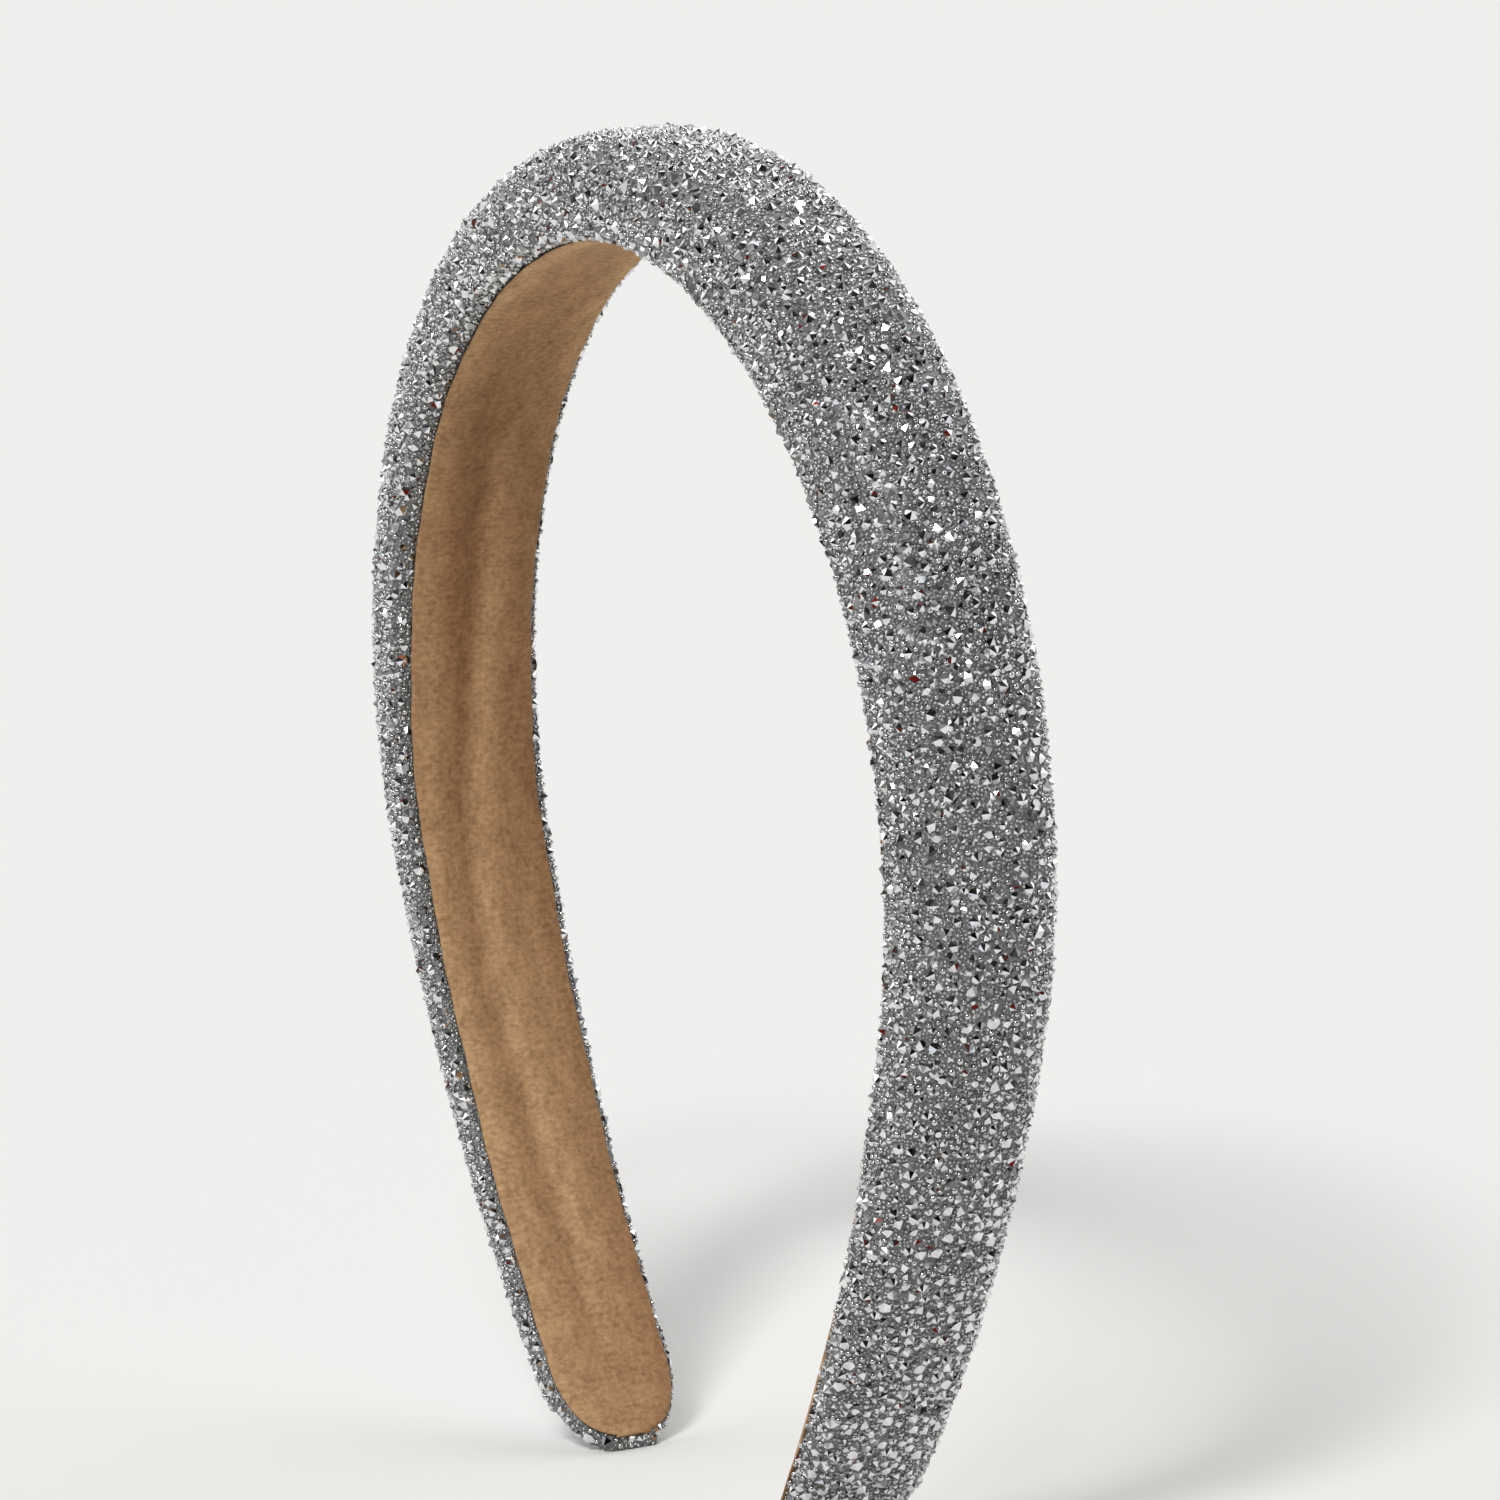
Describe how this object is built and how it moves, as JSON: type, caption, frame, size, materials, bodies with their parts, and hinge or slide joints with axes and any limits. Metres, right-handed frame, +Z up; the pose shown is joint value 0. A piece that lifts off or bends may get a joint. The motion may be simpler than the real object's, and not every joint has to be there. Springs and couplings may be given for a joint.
{
  "type": "padded glitter headband",
  "caption": "Padded hoop headband covered in silver stone-set glitter cloth, with a tan suede lining inside and flattened tips that it stands on.",
  "frame": {"origin": "on the floor, midway between the two tips that the headband stands on", "axes": "+X from ear to ear, +Y across the band towards the back of the head, +Z up to the crown"},
  "size_m": [0.137, 0.0188, 0.1498],
  "materials": {
    "glitter_cloth": "silver cloth paved with small pointed foil-backed stones, microbeads and fine glitter",
    "tan_suede": "tan faux suede with a short nap"
  },
  "bodies": {
    "root": {"padded_band": "glitter_cloth", "suede_lining": "tan_suede"}
  },
  "joints": []
}
